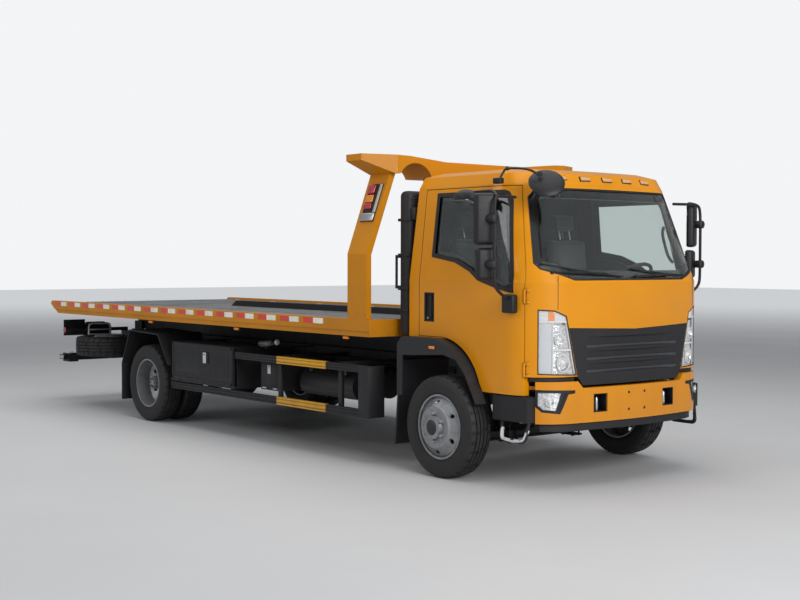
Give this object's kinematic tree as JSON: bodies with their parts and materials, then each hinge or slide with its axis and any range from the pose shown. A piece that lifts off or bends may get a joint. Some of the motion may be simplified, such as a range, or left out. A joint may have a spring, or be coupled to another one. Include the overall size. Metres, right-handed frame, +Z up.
{
  "type": "flatbed tow truck",
  "caption": "Cab-over flatbed tow truck with a tilting, sliding bed, a leaning-post headboard and a wheel underlift at the tail.",
  "frame": {"origin": "centre of the bounding box at ground level", "axes": "+Z up, the cab faces -Y, the driver's left-hand side is +X"},
  "size_m": [2.6, 8.475, 2.6],
  "materials": {
    "cab_paint": "gloss",
    "bed_paint": "gloss",
    "frame_paint": "satin",
    "black_plastic": "matte",
    "deck_steel": "satin",
    "tyre_rubber": "matte",
    "wheel_paint": "satin",
    "window_glass": "gloss",
    "lamp_lens": "gloss",
    "amber_lens": "gloss",
    "chrome_rod": "polished",
    "seat_fabric": "matte",
    "cast_metal": "satin",
    "silver_metal": "satin"
  },
  "bodies": {
    "truck": {"frame_rails": "frame_paint", "engine_block": "cast_metal", "front_axle": "frame_paint", "rear_axle": "frame_paint", "leaf_springs": "frame_paint", "tanks": "silver_metal", "bumper": "cab_paint", "grille": "black_plastic", "front_lamps": "lamp_lens", "cab_front": "cab_paint", "cab_frame": "cab_paint", "cab_roof": "cab_paint", "windscreen": "window_glass", "dashboard": "black_plastic", "steering_wheel": "black_plastic", "seats": "seat_fabric", "wheel_arches": "black_plastic", "cab_steps": "black_plastic", "intake_stack": "black_plastic", "toolboxes": "frame_paint", "side_guards": "frame_paint", "rear_mudguards": "black_plastic", "rear_lamps": "frame_paint", "spare_tyre": "tyre_rubber", "spare_rim": "wheel_paint", "roof_mirror": "black_plastic"},
    "knuckle_left": {"knuckle_left": "frame_paint"},
    "knuckle_right": {"knuckle_right": "frame_paint"},
    "tie_rod": {"tie_rod": "frame_paint"},
    "front_wheel_left": {"front_rim_left": "wheel_paint", "front_tyre_left": "tyre_rubber"},
    "rear_wheels_left": {"rear_rims_left": "wheel_paint", "rear_tyres_left": "tyre_rubber"},
    "door_left": {"door_left": "cab_paint", "door_glass_left": "window_glass", "mirror_left": "black_plastic"},
    "toolbox_lid_left": {"toolbox_lid_left": "frame_paint"},
    "front_wheel_right": {"front_rim_right": "wheel_paint", "front_tyre_right": "tyre_rubber"},
    "rear_wheels_right": {"rear_rims_right": "wheel_paint", "rear_tyres_right": "tyre_rubber"},
    "door_right": {"door_right": "cab_paint", "door_glass_right": "window_glass", "mirror_right": "black_plastic"},
    "toolbox_lid_right": {"toolbox_lid_right": "frame_paint"},
    "tilt_frame": {"tilt_frame": "frame_paint"},
    "bed": {"bed_frame": "frame_paint", "bed_rails": "bed_paint", "bed_deck": "deck_steel", "bed_lamps": "amber_lens", "headboard": "bed_paint", "winch": "frame_paint"},
    "tilt_barrels": {"tilt_barrels": "frame_paint"},
    "tilt_rods": {"tilt_rods": "chrome_rod"},
    "underlift_boom": {"underlift_boom": "frame_paint"},
    "underlift_bar": {"underlift_bar": "frame_paint"}
  },
  "joints": [
    {"name": "steer_left", "type": "hinge", "parent": "truck", "child": "knuckle_left", "pos_m": [0.92, -3.1825, 0.4055], "axis": [0, 0, 1], "range_deg": [-35, 35]},
    {"name": "steer_right", "type": "hinge", "parent": "truck", "child": "knuckle_right", "pos_m": [-0.92, -3.1825, 0.4055], "axis": [0, 0, 1], "range_deg": [-35, 35]},
    {"name": "tie_rod_left_end", "type": "hinge", "parent": "knuckle_left", "child": "tie_rod", "pos_m": [0.92, -2.9975, 0.307], "axis": [0, 0, 1], "range_deg": [-35, 35]},
    {"name": "front_wheel_left", "type": "hinge", "parent": "knuckle_left", "child": "front_wheel_left", "pos_m": [1.027, -3.1825, 0.4055], "axis": [1, 0, 0], "continuous": true},
    {"name": "rear_wheels_left", "type": "hinge", "parent": "truck", "child": "rear_wheels_left", "pos_m": [0.974, 1.5175, 0.4055], "axis": [1, 0, 0], "continuous": true},
    {"name": "door_left", "type": "hinge", "parent": "truck", "child": "door_left", "pos_m": [0.966, -3.9795, 1.2], "axis": [0, 0, -1], "range_deg": [0, 70]},
    {"name": "toolbox_lid_left", "type": "hinge", "parent": "truck", "child": "toolbox_lid_left", "pos_m": [1.192, 0.3775, 0.487], "axis": [0, 1, 0], "range_deg": [0, 90]},
    {"name": "front_wheel_right", "type": "hinge", "parent": "knuckle_right", "child": "front_wheel_right", "pos_m": [-1.027, -3.1825, 0.4055], "axis": [1, 0, 0], "continuous": true},
    {"name": "rear_wheels_right", "type": "hinge", "parent": "truck", "child": "rear_wheels_right", "pos_m": [-0.974, 1.5175, 0.4055], "axis": [1, 0, 0], "continuous": true},
    {"name": "door_right", "type": "hinge", "parent": "truck", "child": "door_right", "pos_m": [-0.966, -3.9795, 1.2], "axis": [0, 0, 1], "range_deg": [0, 70]},
    {"name": "toolbox_lid_right", "type": "hinge", "parent": "truck", "child": "toolbox_lid_right", "pos_m": [-1.192, 0.3775, 0.487], "axis": [0, -1, 0], "range_deg": [0, 90]},
    {"name": "bed_tilt", "type": "hinge", "parent": "truck", "child": "tilt_frame", "pos_m": [0, 3.2675, 0.93], "axis": [-1, 0, 0], "range_deg": [0, 13]},
    {"name": "bed_slide", "type": "slide", "parent": "tilt_frame", "child": "bed", "axis": [0, 1, 0], "range_m": [0, 3.8]},
    {"name": "tilt_barrels", "type": "hinge", "parent": "truck", "child": "tilt_barrels", "pos_m": [0, 0.1175, 0.6], "axis": [1, 0, 0], "range_deg": [0, 20.73]},
    {"name": "tilt_rods", "type": "slide", "parent": "tilt_barrels", "child": "tilt_rods", "axis": [0, 0.9808, 0.1952], "range_m": [0, 0.203]},
    {"name": "underlift_tilt", "type": "hinge", "parent": "truck", "child": "underlift_boom", "pos_m": [0, 2.7175, 0.56], "axis": [-1, 0, 0], "range_deg": [0, 10]},
    {"name": "underlift_slide", "type": "slide", "parent": "underlift_boom", "child": "underlift_bar", "axis": [0, 1, 0], "range_m": [0, 0.6]}
  ],
  "couplings": [
    {"joint": "steer_right", "follows": "steer_left", "ratio": 1},
    {"joint": "tie_rod_left_end", "follows": "steer_left", "ratio": -1},
    {"joint": "tilt_barrels", "follows": "bed_tilt", "ratio": 1.5718},
    {"joint": "tilt_rods", "follows": "bed_tilt", "m_per_rad": 0.8816}
  ]
}
